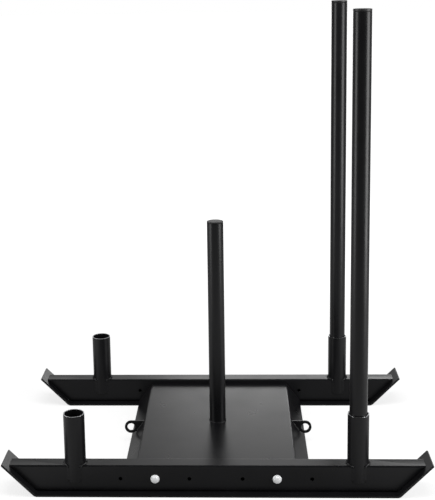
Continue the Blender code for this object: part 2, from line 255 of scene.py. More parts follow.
FIT_GAP = 0.0003
BEAM_WIDTH = 0.050
BEAM_FOOT = SKID_THICKNESS + FIT_GAP
BEAM_TOP = 0.083
BEAM_WALL = 0.003
BEAM_CORNER = 0.005
BEAM_CORNER_STEPS = 8
BEAM_TOE_RELIEF = 0.0035
SLEEVE_X = 0.400
SLEEVE_RADIUS = 0.030
SLEEVE_FOOT = 0.033
BOLT_X = 0.172
BOLT_Z = 0.044
SPARE_HOLES = (0.075, 0.270)
HOLE_RADIUS = 0.0055
TUBE_STEPS = 96
HOLE_STEPS = 40
# The cutters run on past the steel by this much.
OVERRUN = 0.04
ENDS = (("front", -1), ("rear", 1))


def tube_section(width, bottom, top, corner):
    """Points (y, z) round a rectangular tube with round corners."""
    points = []
    for y_sign, z_middle, start in ((1, bottom + corner, -90), (1, top - corner, 0),
                                    (-1, top - corner, 90), (-1, bottom + corner, 180)):
        for step in range(BEAM_CORNER_STEPS + 1):
            angle = math.radians(start + 90 * step / BEAM_CORNER_STEPS)
            points.append((y_sign * (width / 2 - corner) + corner * math.cos(angle),
                           z_middle + corner * math.sin(angle)))
    return points


def beam_reach(z):
    """How far the beam's mitred end reaches at a height; its toe is ground back over the skid's bend."""
    relief_here = BEAM_TOE_RELIEF if z < SKID_THICKNESS + BEAM_CORNER else 0.0
    return skid_foot - BEAM_FOOT * math.sqrt(2) + z - relief_here


def turned(profile, steps, axis="Z", place=(0.0, 0.0, 0.0)):
    """Circles of a turned shape from (radius, distance along the axis) pairs."""
    loops = []
    for radius, along in profile:
        loop = []
        for step in range(steps):
            turn = 2 * math.pi * step / steps
            across, up = radius * math.cos(turn), radius * math.sin(turn)
            point = (across, up, along) if axis == "Z" else (across, along, up)
            loop.append(tuple(value + shift for value, shift in zip(point, place)))
        loops.append(loop)
    return loops


def drill(name, bores):
    """One hidden cutter for several (profile, steps, axis, place) bores."""
    shell = bmesh.new()
    for bore in bores:
        skin_loops(shell, turned(*bore), closed=False)
    cutter = add_object(name, shell_mesh(name, shell))
    cutter.hide_render = True
    return cutter


outside = tube_section(BEAM_WIDTH, BEAM_FOOT, BEAM_TOP, BEAM_CORNER)
inside = tube_section(BEAM_WIDTH - 2 * BEAM_WALL, BEAM_FOOT + BEAM_WALL, BEAM_TOP - BEAM_WALL,
                      BEAM_CORNER - BEAM_WALL)
pocket = ((SLEEVE_RADIUS + FIT_GAP, SLEEVE_FOOT - FIT_GAP), (SLEEVE_RADIUS + FIT_GAP, BEAM_TOP + OVERRUN))
through = ((HOLE_RADIUS, -OVERRUN), (HOLE_RADIUS, OVERRUN))
for side, sign in SIDES:
    beam_y = sign * RUNNER_Y
    tube = bmesh.new()
    skin_loops(tube, [[(end_sign * beam_reach(z), beam_y + y, z) for y, z in section]
                      for section, end_sign in ((outside, -1), (outside, 1), (inside, 1), (inside, -1))],
               closed=True)
    bores = [(pocket, TUBE_STEPS, "Z", (end_sign * SLEEVE_X, beam_y, 0.0)) for _, end_sign in ENDS]
    bores += [(through, HOLE_STEPS, "Y", (end_sign * x, beam_y, BOLT_Z))
              for _, end_sign in ENDS for x in (BOLT_X, *SPARE_HOLES)]
    cutter = drill(f"{side}_beam_bores", bores)
    make_piece(f"{side}_beam_tube", tube, steel, "frame", [f"{side}_runner_beam"],
               cutters=[cutter])
    bpy.data.objects.remove(cutter)


# Pole sleeves
# Round steel tube, 60 mm across, set down into each beam so that it bulges from both of the beam's sides.
# The rims' bright line is a painted highlight: their top 0.3 mm is coloured pale grey metal. The front pair
# stand empty.

SLEEVE_TOP = 0.230
SLEEVE_WALL = 0.003
SLEEVE_LIP = 0.0005
SLEEVE_RIM_HIGHLIGHT = 0.0003
LIP_STEPS = 4


def soft_corner(radius, along, out_sign, along_sign, lip):
    """Points of a rounded corner on a turned profile; the signs say which way the corner points."""
    points = []
    for step in range(LIP_STEPS + 1):
        angle = math.pi / 2 * step / LIP_STEPS
        points.append((radius - out_sign * lip * (1 - math.cos(angle)),
                       along - along_sign * lip * (1 - math.sin(angle))))
    return points


def round_tube(radius, wall, bottom, top, lip, x=0.0, y=0.0):
    """A round tube with rounded rims, standing at a place."""
    bore = radius - wall
    profile = [*soft_corner(radius, bottom, 1, -1, lip)[::-1], *soft_corner(radius, top, 1, 1, lip),
               *soft_corner(bore, top, -1, 1, lip)[::-1], *soft_corner(bore, bottom, -1, -1, lip)]
    shell = bmesh.new()
    skin_loops(shell, turned(profile, TUBE_STEPS, "Z", (x, y, 0.0)), closed=True)
    return shell


# A painted highlight: the top 0.3 mm of each sleeve is coloured pale grey metal, for the light line on its
# rim.
rim_highlight_steel = powder_coated_steel("powder_coated_steel_with_painted_rim_highlight", SLEEVE_TOP - SLEEVE_RIM_HIGHLIGHT)
for end, end_sign in ENDS:
    for side, sign in SIDES:
        tube = round_tube(SLEEVE_RADIUS, SLEEVE_WALL, SLEEVE_FOOT, SLEEVE_TOP, SLEEVE_LIP,
                          end_sign * SLEEVE_X, sign * RUNNER_Y)
        make_piece(f"{end}_{side}_sleeve_tube", tube, rim_highlight_steel, "frame",
                   [f"{end}_{side}_sleeve"])


# Sleeve floors, deck end plates and the post's foot plate
# Plain laser-cut steel plates, welded in out of sight: under the poles, inside the deck's sides and under
# the post. They are coated with the rest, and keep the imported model's own mesh.

hidden_plates = [f"{end}_{side}_sleeve_floor" for end, _ in ENDS for side, _ in SIDES]
hidden_plates += ["deck_left_end_plate", "deck_right_end_plate", "post_foot_plate"]
for node in hidden_plates:
    plate_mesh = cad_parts[node].data
    plate_mesh.materials.clear()
    plate_mesh.materials.append(steel)


# Push poles
# Loose round steel tubes, 50 mm across and about 1.3 m long, that stand on the rear sleeves' floors.
# The ends are sawn square and deburred, and the tube is powder coated like the sled.

POLE_RADIUS = 0.025
POLE_WALL = 0.003
POLE_LIP = 0.0009

for side, sign in SIDES:
    pole_low, pole_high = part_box(f"{side}_push_pole")
    tube = round_tube(POLE_RADIUS, POLE_WALL, pole_low.z, pole_high.z, POLE_LIP, SLEEVE_X, sign * RUNNER_Y)
    make_piece(f"{side}_pole_tube", tube, steel, f"{side}_pole", [f"{side}_push_pole"])


# Tube caps
# Injection-moulded black plastic plugs, pushed into the tops of the poles and the post.
# The head is as wide as the tube, slightly crowned, and leaves a fine seam on the tube's rim.

POLE_CAP_HEAD = 0.007
POST_CAP_HEAD = 0.004
CROWN_HEIGHT = 0.0012
CROWN_STEPS = 10
# The lower this power, the flatter the crown and the tighter its edge.
CROWN_ROUNDNESS = 0.35
# The crown closes on a dot of this radius.
CROWN_DOT = 0.0005
PLUG_CHAMFER = 0.0015


def moulded_plastic():
    """Black polyethylene from an eroded mould: matt, with a fine grain.

    The real grain is a few tenths of a millimetre across, and it is drawn 1 mm across so that it shows.
    """
    material, tree, shader, place = new_finish("moulded_black_polyethylene")
    grain = add_node(tree, "ShaderNodeTexNoise", inputs={"Vector": place, "Scale": 1000.0, "Detail": 2.0})
    shade = add_node(tree, "ShaderNodeMix", {"data_type": "RGBA"}, {
        "Factor": grain.outputs["Fac"], "A": linear("#0d0d0e"), "B": linear("#131314")})
    gloss = add_node(tree, "ShaderNodeMapRange", inputs={
        "Value": grain.outputs["Fac"], "From Min": NOISE_LOW, "From Max": NOISE_HIGH,
        "To Min": 0.4, "To Max": 0.5})
    bump = add_node(tree, "ShaderNodeBump", inputs={
        "Strength": 0.5, "Distance": 0.00003, "Height": grain.outputs["Fac"]})
    fill(tree, shader, {"IOR": 1.5, "Base Color": shade.outputs["Result"],
                        "Roughness": gloss.outputs["Result"], "Normal": bump.outputs["Normal"]})
    return material


def cap_profile(seat, top, plug_foot):
    """Turned profile of a cap, from the plug's foot up to its crowned head."""
    plug = POLE_RADIUS - POLE_WALL - FIT_GAP
    crown = []
    for step in range(CROWN_STEPS):
        turn = math.pi / 2 * step / CROWN_STEPS
        crown.append((POLE_RADIUS * math.cos(turn) ** CROWN_ROUNDNESS,
                      top - CROWN_HEIGHT + CROWN_HEIGHT * math.sin(turn)))
    return [(PLUG_CHAMFER, plug_foot), (plug - PLUG_CHAMFER, plug_foot), (plug, plug_foot + PLUG_CHAMFER),
            (plug, seat), (POLE_RADIUS - POLE_LIP, seat), (POLE_RADIUS, seat + POLE_LIP), *crown,
            (CROWN_DOT, top)]


plastic = moulded_plastic()
caps = [(f"{side}_pole_cap", f"{side}_pole", POLE_CAP_HEAD, (SLEEVE_X, sign * RUNNER_Y, 0.0))
        for side, sign in SIDES]
caps.append(("weight_post_cap", "frame", POST_CAP_HEAD, (0.0, 0.0, 0.0)))
for node, body, head, place in caps:
    cap_low, cap_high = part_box(node)
    plug = bmesh.new()
    skin_loops(plug, turned(cap_profile(cap_high.z - head, cap_high.z, cap_low.z), TUBE_STEPS, "Z", place),
               closed=False)
    make_piece(f"{node}_plug", plug, plastic, body, [node])


# Deck
# One 4 mm steel sheet, folded down at the front and the rear by a press brake, with the post through it.
# Its folds are 8 mm in radius and catch the light as a pale line at each end.

DECK_TOP = 0.070
DECK_FOLD_X = 0.227
DECK_FOOT_X = 0.273
DECK_FOOT_Z = 0.009
DECK_HALF_WIDTH = RUNNER_Y - BEAM_WIDTH / 2 - FIT_GAP
DECK_THICKNESS = 0.004
DECK_FOLD = 0.008
DECK_FOLD_STEPS = 10
DECK_EDGE = 0.0005
POST_BORE_TOP = 0.13

deck_path = ((DECK_FOOT_X, DECK_FOOT_Z), (DECK_FOLD_X, DECK_TOP),
             (-DECK_FOLD_X, DECK_TOP), (-DECK_FOOT_X, DECK_FOOT_Z))
deck_sheet = cut_plate(folded_strip(deck_path, DECK_THICKNESS, DECK_FOLD, DECK_FOLD_STEPS),
                       -DECK_HALF_WIDTH, DECK_HALF_WIDTH)
post_bore = drill("post_bore", [(((POLE_RADIUS + FIT_GAP, 0.0), (POLE_RADIUS + FIT_GAP, POST_BORE_TOP)),
                                 TUBE_STEPS)])
make_piece("deck_sheet", deck_sheet, steel, "frame", ["deck_plate"], edge=DECK_EDGE,
           cutters=[post_bore])
bpy.data.objects.remove(post_bore)


# Weight post
# The same 50 mm steel tube as the poles, standing on its foot plate and welded into the deck.
# Plates with a 50 mm bore slide down it.

post_low, post_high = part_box("weight_post")
make_piece("post_tube", round_tube(POLE_RADIUS, POLE_WALL, post_low.z, post_high.z, POLE_LIP),
           steel, "frame", ["weight_post"])


# Tow lugs
# Flat 6 mm plates with a 24 mm eye for a strap hook, laser cut, deburred and welded to the deck's slopes.

LUG_X = 0.272
LUG_Z = 0.046
LUG_RADIUS = 0.020
LUG_RING_STEPS = 60
LUG_EYE = 0.012
LUG_EYE_STEPS = 64
LUG_THICKNESS = 0.006
LUG_GAP = 0.0004
LUG_EDGE = 0.0007


def slope_x(z):
    """The deck slope's outer face at a height."""
    return DECK_FOLD_X + (DECK_TOP - z) * (DECK_FOOT_X - DECK_FOLD_X) / (DECK_TOP - DECK_FOOT_Z)


# The outline runs from the lug's straight top round its eye and back to the slope.
lug_top = LUG_Z + LUG_RADIUS
ring = [math.radians(90 - 225 * step / LUG_RING_STEPS) for step in range(LUG_RING_STEPS + 1)]
lug_outline = [(LUG_X + LUG_RADIUS * math.cos(turn), LUG_Z + LUG_RADIUS * math.sin(turn)) for turn in ring]
lug_foot = lug_outline[-1][1]
lug_outline = [(slope_x(lug_top) + LUG_GAP, lug_top), *lug_outline, (slope_x(lug_foot) + LUG_GAP, lug_foot)]
for end, end_sign in ENDS:
    eye_bore = ((LUG_EYE, -OVERRUN / 2), (LUG_EYE, OVERRUN / 2))
    eye = drill(f"{end}_eye", [(eye_bore, LUG_EYE_STEPS, "Y", (end_sign * LUG_X, 0.0, LUG_Z))])
    plate = cut_plate([(end_sign * x, z) for x, z in lug_outline], -LUG_THICKNESS / 2, LUG_THICKNESS / 2)
    make_piece(f"{end}_lug_plate", plate, steel, "frame", [f"{end}_tow_lug"], edge=LUG_EDGE,
               cutters=[eye])
    bpy.data.objects.remove(eye)


# Welds
# MIG beads under the powder coat, with a ripple every 2.5 mm: over the beams round each sleeve,
# round the foot of the post, and down both sides of each tow lug. Smooth fillets run up the sleeves' sides.

BEAD_PITCH = 0.0025
BEAD_STEP = 0.0005
# Each ripple rises by this share of the throat, on a bead that swells and thins between these shares.
RIPPLE_RISE = 0.22
BEAD_THIN, BEAD_FULL = 0.82, 1.05
SLEEVE_THROAT = 0.0040
POST_THROAT = 0.0020
LUG_THROAT = 0.0018
SEAM_STEPS = 48
POST_SEAM_STEPS = 72
LUG_SEAM_STEPS = 12
LUG_SEAM_START = 0.004
LUG_SEAM_LENGTH = 0.028
FILLET_FOOT = SLEEVE_FOOT + 0.001
FILLET_HEIGHT = 0.044
FILLET_STEPS = 56
FILLET_LEG = 0.0052
# The fillet's edges run this far into the steel, and its inner corner further.
FILLET_BITE = 0.0001
FILLET_ROOT = 0.0015


def named_tree(name, inputs, output):
    """A Geometry Nodes tree with named inputs and one output, and what its inputs give."""
    tree = bpy.data.node_groups.new(name, "GeometryNodeTree")
    for label, kind in inputs.items():
        tree.interface.new_socket(label, in_out="INPUT", socket_type=kind)
    tree.interface.new_socket(output, in_out="OUTPUT", socket_type="NodeSocketGeometry")
    return tree, add_node(tree, "NodeGroupInput").outputs


def end_tree(tree, geometry, finish, output):
    """Ends a tree with plain geometry in one material."""
    real = add_node(tree, "GeometryNodeRealizeInstances", inputs={"Geometry": geometry})
    coated = add_node(tree, "GeometryNodeSetMaterial", inputs={
        "Geometry": real.outputs["Geometry"], "Material": finish})
    add_node(tree, "NodeGroupOutput", inputs={output: coated.outputs["Geometry"]})


def bead_tree():
    """Turns a line of edges into a rippled bead, one for all of the sled's welds."""
    tree, given = named_tree("weld_bead", {
        "Seams": "NodeSocketGeometry", "Throat": "NodeSocketFloat", "Ripple pitch": "NodeSocketFloat",
        "Finish": "NodeSocketMaterial"}, "Beads")
    line = add_node(tree, "GeometryNodeMeshToCurve", inputs={"Mesh": given["Seams"]})
    fine = add_node(tree, "GeometryNodeResampleCurve", {"mode": "LENGTH"}, {
        "Curve": line.outputs["Curve"], "Length": BEAD_STEP})
    along = add_node(tree, "GeometryNodeSplineParameter").outputs
    phase = add_node(tree, "ShaderNodeMath", {"operation": "DIVIDE"}, {
        0: along["Length"], 1: given["Ripple pitch"]})
    saw = add_node(tree, "ShaderNodeMath", {"operation": "FRACT"}, {0: phase.outputs["Value"]})
    wander = add_node(tree, "ShaderNodeTexNoise", {"noise_dimensions": "3D"}, {
        "Scale": 130.0, "Detail": 1.0})
    swell = add_node(tree, "ShaderNodeMapRange", inputs={
        "Value": wander.outputs["Fac"], "From Min": NOISE_LOW, "From Max": NOISE_HIGH,
        "To Min": BEAD_THIN, "To Max": BEAD_FULL})
    ripple = add_node(tree, "ShaderNodeMath", {"operation": "MULTIPLY_ADD"}, {
        0: saw.outputs["Value"], 1: RIPPLE_RISE, 2: swell.outputs["Result"]})
    # The arc starts and stops with a rounded end.
    from_end = add_node(tree, "ShaderNodeMath", {"operation": "PINGPONG"}, {0: along["Factor"], 1: 0.5})
    taper = add_node(tree, "ShaderNodeMapRange", {"interpolation_type": "SMOOTHSTEP"}, {
        "Value": from_end.outputs["Value"], "From Min": 0.0, "From Max": 0.03,
        "To Min": 0.25, "To Max": 1.0})
    size = add_node(tree, "ShaderNodeMath", {"operation": "MULTIPLY"}, {
        0: ripple.outputs["Value"], 1: taper.outputs["Result"]})
    circle = add_node(tree, "GeometryNodeCurvePrimitiveCircle", inputs={
        "Resolution": 10, "Radius": given["Throat"]})
    bead = add_node(tree, "GeometryNodeCurveToMesh", inputs={
        "Curve": fine.outputs["Curve"], "Profile Curve": circle.outputs["Curve"],
        "Scale": size.outputs["Value"], "Fill Caps": True})
    smooth = add_node(tree, "GeometryNodeSetShadeSmooth", inputs={"Geometry": bead.outputs["Mesh"]})
    end_tree(tree, smooth.outputs["Geometry"], given["Finish"], "Beads")
    return tree


def grow(name, source, tree, values, material, body, nodes=()):
    """Runs a node tree on a source mesh with named inputs, and keeps the plain mesh as a piece."""
    item = add_object(name, source)
    maker = item.modifiers.new("maker", "NODES")
    maker.node_group = tree
    sockets = {socket.name: socket.identifier for socket in tree.interface.items_tree
               if socket.item_type == "SOCKET" and socket.in_out == "INPUT"}
    for label, value in {**values, "Finish": material}.items():
        maker[sockets[label]] = value
    settle(item).name = name
    return mount(item, body, nodes)


def seam_mesh(name, seams):
    """A mesh of edges only: each seam is a list of points, and a closed seam ends where it starts."""
    mesh = bpy.data.meshes.new(name)
    points, edges = [], []
    for seam in seams:
        closed = math.dist(seam[0], seam[-1]) < 1e-6
        kept = seam[:-1] if closed else seam
        base = len(points)
        points += kept
        edges += [(base + at, base + at + 1) for at in range(len(kept) - 1)]
        if closed:
            edges.append((base + len(kept) - 1, base))
    mesh.from_pydata(points, edges, [])
    return mesh


def weld(name, seams, throat):
    """Lays a bead of the given throat along every seam."""
    grow(name, seam_mesh(f"{name}_seams", seams), beads, {"Throat": throat, "Ripple pitch": BEAD_PITCH},
         steel, "frame")


def beam_surface_z(across):
    """Height of the beam's top at a distance from its middle, round corners included."""
    flat = BEAM_WIDTH / 2 - BEAM_CORNER
    over = max(abs(across) - flat, 0.0)
    return BEAM_TOP - BEAM_CORNER + math.sqrt(max(BEAM_CORNER ** 2 - over ** 2, 0.0))


def flank_fillet(shell, axis_x, axis_y, x_sign, y_sign):
    """A flat fillet up the corner between the beam's side and the sleeve's bulge, ground smooth."""
    face = BEAM_WIDTH / 2
    corner = math.sqrt(SLEEVE_RADIUS ** 2 - face ** 2)
    loops = []
    for step in range(FILLET_STEPS + 1):
        z = FILLET_FOOT + FILLET_HEIGHT * step / FILLET_STEPS
        # The leg is uneven, as a hand leaves it, and runs out at the foot.
        leg = FILLET_LEG + 0.0002 * math.sin(2.1 * step)
        leg += 0.0003 * math.sin(0.37 * step + 5 * x_sign + 3 * y_sign)
        leg *= min(1.0, 0.2 + 0.08 * step)
        turn = math.asin(face / SLEEVE_RADIUS) + leg / SLEEVE_RADIUS
        bulge = SLEEVE_RADIUS - FILLET_BITE
        toe = (corner + leg, face - FILLET_BITE)
        top = (bulge * math.cos(turn), bulge * math.sin(turn))
        # Its face swells by a few tenths of a millimetre between the toe and the top.
        swell = [(toe[0] + (top[0] - toe[0]) * share + 0.0006 * share * (1 - share),
                  toe[1] + (top[1] - toe[1]) * share + 0.0012 * share * (1 - share))
                 for share in (0.25, 0.5, 0.75)]
        loops.append([(axis_x + x_sign * u, axis_y + y_sign * w, z)
                      for u, w in (toe, *swell, top, (corner, face - FILLET_ROOT))])
    skin_loops(shell, loops, closed=False)


beads = bead_tree()
sleeve_seams = []
flanks = bmesh.new()
for _, end_sign in ENDS:
    for _, sign in SIDES:
        for x_sign in (-1, 1):
            arc = []
            for step in range(SEAM_STEPS + 1):
                across = -BEAM_WIDTH / 2 * math.cos(math.pi * step / SEAM_STEPS)
                arc.append((end_sign * SLEEVE_X + x_sign * math.sqrt(SLEEVE_RADIUS ** 2 - across ** 2),
                            sign * RUNNER_Y + across, beam_surface_z(across)))
            sleeve_seams.append(arc)
            for y_sign in (-1, 1):
                flank_fillet(flanks, end_sign * SLEEVE_X, sign * RUNNER_Y, x_sign, y_sign)
weld("sleeve_welds", sleeve_seams, SLEEVE_THROAT)
make_piece("sleeve_side_welds", flanks, steel, "frame", [])

post_turns = [2 * math.pi * step / POST_SEAM_STEPS for step in range(POST_SEAM_STEPS + 1)]
weld("post_weld", [[(POLE_RADIUS * math.cos(turn), POLE_RADIUS * math.sin(turn), DECK_TOP)
                    for turn in post_turns]], POST_THROAT)

lug_heights = [lug_top - LUG_SEAM_START - LUG_SEAM_LENGTH * step / LUG_SEAM_STEPS
               for step in range(LUG_SEAM_STEPS + 1)]
weld("lug_welds", [[(end_sign * slope_x(z), y_sign * LUG_THICKNESS / 2, z) for z in lug_heights]
                   for _, end_sign in ENDS for y_sign in (-1, 1)], LUG_THROAT)


# Deck bolts, washers and nuts
# Bright zinc-plated M10 hexagon hardware: two bolts through each beam into the deck's end plate,
# with a 25 mm washer under the head outside and a nut inside the deck.

BEAM_FACE = RUNNER_Y + BEAM_WIDTH / 2
BOLT_FLATS = 0.016
BOLT_RADIUS = 0.005
BOLT_TIP = 0.0042
BOLT_TIP_LENGTH = 0.001
HEAD_INSET = 0.0004
WASHER_RADIUS = 0.0125
WASHER_EDGE = 0.0004
WASHER_BACK_EDGE = 0.0003
NUT_EDGE = 0.0002
BORE_RADIUS = 0.0053
CHAMFER_RADIUS = 0.0072
# A hexagon's corners are chamfered at 30 degrees.
CHAMFER_FALL = 0.577
HARDWARE_STEPS = 48
# The bolt's flat ends close on a dot of this radius.
END_DOT = 0.0008
SPIN_SEED = 7


def bright_zinc():
    """Clear-passivated zinc plate: a soft bright metal with faint cloudy patches.

    Close by it shows its own pale colour more than what it mirrors, so it is only part metallic.
    """
    material, tree, shader, place = new_finish("bright_zinc_plate")
    # Plating clouds are 2 to 3 mm across.
    cloud = add_node(tree, "ShaderNodeTexNoise", inputs={"Vector": place, "Scale": 400.0, "Detail": 3.0})
    shade = add_node(tree, "ShaderNodeMix", {"data_type": "RGBA"}, {
        "Factor": cloud.outputs["Fac"], "A": linear("#e8e9ea"), "B": linear("#f6f7f8")})
    gloss = add_node(tree, "ShaderNodeMapRange", inputs={
        "Value": cloud.outputs["Fac"], "From Min": NOISE_LOW, "From Max": NOISE_HIGH,
        "To Min": 0.34, "To Max": 0.46})
    bump = add_node(tree, "ShaderNodeBump", inputs={
        "Strength": 0.4, "Distance": 0.00002, "Height": cloud.outputs["Fac"]})
    fill(tree, shader, {"Metallic": 0.25, "Base Color": shade.outputs["Result"],
                        "Roughness": gloss.outputs["Result"], "Normal": bump.outputs["Normal"]})
    return material


def round_ring(radius, y):
    """Points round a circle that faces along Y."""
    turns = [2 * math.pi * step / HARDWARE_STEPS for step in range(HARDWARE_STEPS)]
    return [(radius * math.cos(turn), y, radius * math.sin(turn)) for turn in turns]


def hexagon_ring(y, chamfered=False):
    """Points round a hexagon; past the chamfer's circle a chamfered face falls back."""
    points = []
    for step in range(HARDWARE_STEPS):
        turn = 2 * math.pi * step / HARDWARE_STEPS
        reach = BOLT_FLATS / 2 / math.cos((turn % (math.pi / 3)) - math.pi / 6)
        drop = max(reach - CHAMFER_RADIUS, 0.0) * CHAMFER_FALL if chamfered else 0.0
        points.append((reach * math.cos(turn), y + drop, reach * math.sin(turn)))
    return points


def hardware_pattern(name, loops, closed, finish):
    """A hidden fastener for the four places to copy."""
    shell = bmesh.new()
    skin_loops(shell, loops, closed)
    mesh = shell_mesh(name, shell)
    mesh.shade_smooth()
    mesh.set_sharp_from_angle(angle=math.radians(28))
    mesh.materials.append(finish)
    pattern = add_object(name, mesh)
    pattern.hide_render = True
    return pattern


def bolt_row_tree():
    """Sets one fastener at each of the four deck bolts, turned to face outwards and by a seeded spin."""
    tree, given = named_tree("deck_bolt_row", {
        "Points": "NodeSocketGeometry", "Hardware": "NodeSocketObject", "Seed": "NodeSocketInt",
        "Finish": "NodeSocketMaterial"}, "Fasteners")
    place = add_node(tree, "GeometryNodeInputPosition")
    parts = add_node(tree, "ShaderNodeSeparateXYZ", inputs={"Vector": place.outputs["Position"]})
    right = add_node(tree, "ShaderNodeMath", {"operation": "GREATER_THAN"}, {
        0: parts.outputs["Y"], 1: 0.0})
    about = add_node(tree, "ShaderNodeMath", {"operation": "MULTIPLY"}, {
        0: right.outputs["Value"], 1: math.pi})
    spin = add_node(tree, "FunctionNodeRandomValue", {"data_type": "FLOAT"}, {
        "Seed": given["Seed"], 2: 0.0, 3: math.pi / 3})
    turn = add_node(tree, "ShaderNodeCombineXYZ", inputs={
        "Y": spin.outputs[1], "Z": about.outputs["Value"]})
    pattern = add_node(tree, "GeometryNodeObjectInfo", {"transform_space": "ORIGINAL"}, {
        "Object": given["Hardware"], "As Instance": True})
    rows = add_node(tree, "GeometryNodeInstanceOnPoints", inputs={
        "Points": given["Points"], "Instance": pattern.outputs["Geometry"],
        "Rotation": turn.outputs["Vector"]})
    end_tree(tree, rows.outputs["Instances"], given["Finish"], "Fasteners")
    return tree


def reach_from_beam(node):
    """Where a fastener of the left beam starts and ends, measured inwards from the beam's outer face."""
    low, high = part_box(node)
    return low.y + BEAM_FACE, high.y + BEAM_FACE


zinc = bright_zinc()
bolt_row = bolt_row_tree()
head_top, shank_end = reach_from_beam("rear_left_deck_bolt")
washer_near, washer_far = reach_from_beam("rear_left_deck_washer")
nut_near, nut_far = reach_from_beam("rear_left_deck_nut")
head_seat = washer_near - FIT_GAP
bolt_loops = [round_ring(END_DOT, head_top), round_ring(CHAMFER_RADIUS - HEAD_INSET, head_top),
              hexagon_ring(head_top, chamfered=True), hexagon_ring(head_seat),
              round_ring(BOLT_RADIUS, head_seat), round_ring(BOLT_RADIUS, shank_end - BOLT_TIP_LENGTH),
              round_ring(BOLT_TIP, shank_end), round_ring(END_DOT, shank_end)]
washer_loops = [round_ring(BORE_RADIUS, washer_near), round_ring(WASHER_RADIUS - WASHER_EDGE, washer_near),
                round_ring(WASHER_RADIUS, washer_near + WASHER_EDGE),
                round_ring(WASHER_RADIUS, washer_far - WASHER_BACK_EDGE),
                round_ring(WASHER_RADIUS - WASHER_BACK_EDGE, washer_far), round_ring(BORE_RADIUS, washer_far)]
nut_loops = [round_ring(BORE_RADIUS, nut_near), round_ring(CHAMFER_RADIUS, nut_near),
             hexagon_ring(nut_near, chamfered=True), hexagon_ring(nut_far - NUT_EDGE),
             round_ring(CHAMFER_RADIUS + NUT_EDGE, nut_far), round_ring(BORE_RADIUS, nut_far)]
bolt_points = [(end_sign * BOLT_X, sign * BEAM_FACE, BOLT_Z) for _, end_sign in ENDS for _, sign in SIDES]
for word, loops, closed in (("bolt", bolt_loops, False), ("washer", washer_loops, True),
                            ("nut", nut_loops, True)):
    pattern = hardware_pattern(f"{word}_pattern", loops, closed, zinc)
    points = bpy.data.meshes.new(f"{word}_points")
    points.from_pydata(bolt_points, [], [])
    grow(f"deck_{word}s", points, bolt_row, {"Hardware": pattern, "Seed": SPIN_SEED}, zinc,
         "frame", [f"{end}_{side}_deck_{word}" for end, _ in ENDS for side, _ in SIDES])
    bpy.data.objects.remove(pattern)


# Studio
# A white floor under a white surround. Seen from the camera, a tall softbox stands at each side and a low
# one behind, and one hangs overhead, whose light isn't mirrored in the coat.

STUDIO_WHITE = linear("#ffffff")
PAPER_GREY = linear("#8c8c8c")
PAPER_SHADE = linear("#1c1c1c")
FLOOR_REACH = 30
FLOOR_Z = -0.0006
# How bright the paper is in a reflection, from PAPER_DEPTH on the camera's side (0) to as far behind (1).
PAPER_DEPTH = 5.0
PAPER_TONES = ((0.0, 0.04), (0.4, 0.31), (0.54, 0.31), (0.62, 0.12))
# How bright the surround is in a reflection, from level (0) to straight up (1).
SURROUND_TONES = ((0.0, 0.3), (0.14, 0.35), (0.27, 1.0), (0.36, 1.0), (0.52, 0.2))
# What the surround adds to matt surfaces.
SURROUND_FILL = 0.35
# Each softbox's name, place, aim, width and height in metres, and power in watts.
SOFTBOXES = (("left_softbox", (-2.1, -0.8, 1.3), (0.0, -0.1, 1.1), (1.1, 2.5), 38),
             ("right_softbox", (2.2, -0.9, 1.3), (0.2, -0.1, 1.1), (1.2, 2.5), 64),
             ("rear_softbox", (0.55, 3.6, 1.0), (0.1, 0.0, 0.1), (1.9, 0.6), 12),
             ("overhead_softbox", (0.0, -0.6, 3.2), (0.0, 0.0, 0.3), (2.4, 1.8), 60))


def seen_white(tree):
    """What Light Path gives, and 1 for rays from the camera or through glass."""
    rays = add_node(tree, "ShaderNodeLightPath").outputs
    seen = add_node(tree, "ShaderNodeMath", {"operation": "ADD", "use_clamp": True}, {
        0: rays["Is Camera Ray"], 1: rays["Is Transmission Ray"]})
    return rays, seen.outputs["Value"]


floor_mesh = bpy.data.meshes.new("studio_floor")
floor_corners = ((-1, -1), (1, -1), (1, 1), (-1, 1))
floor_mesh.from_pydata([(FLOOR_REACH * x, FLOOR_REACH * y, FLOOR_Z) for x, y in floor_corners], [],
                       [(0, 1, 2, 3)])
floor = add_object("studio_floor", floor_mesh)
paper = bpy.data.materials.new("studio_paper")
paper.use_nodes = True
tree = paper.node_tree
tree.nodes.clear()
rays, seen = seen_white(tree)
ground = add_node(tree, "ShaderNodeTexCoord").outputs["Object"]
# The paper is lit round the sled, and falls into shade far out on the camera's side and behind.
parts = add_node(tree, "ShaderNodeSeparateXYZ", inputs={"Vector": ground})
depth = add_node(tree, "ShaderNodeMapRange", inputs={
    "Value": parts.outputs["Y"], "From Min": -PAPER_DEPTH, "From Max": PAPER_DEPTH})
paper_ramp = add_node(tree, "ShaderNodeValToRGB", inputs={"Fac": depth.outputs["Result"]})
mirrored = add_node(tree, "ShaderNodeMath", {"operation": "MULTIPLY"}, {
    0: rays["Is Glossy Ray"], 1: paper_ramp.outputs["Color"]})
# The paper's own shading shows near the sled, where it keeps the shadow, and fades out further off.
away = add_node(tree, "ShaderNodeVectorMath", {"operation": "LENGTH"}, {0: ground})
clear = add_node(tree, "ShaderNodeMapRange", {"interpolation_type": "SMOOTHSTEP"}, {
    "Value": away.outputs["Value"], "From Min": 0.7, "From Max": 2.2, "To Min": 0.72, "To Max": 1.0})
glow = add_node(tree, "ShaderNodeMath", {"operation": "MULTIPLY_ADD", "use_clamp": True}, {
    0: seen, 1: clear.outputs["Result"], 2: mirrored.outputs["Value"]})
shine = add_node(tree, "ShaderNodeEmission", inputs={
    "Color": STUDIO_WHITE, "Strength": glow.outputs["Value"]})
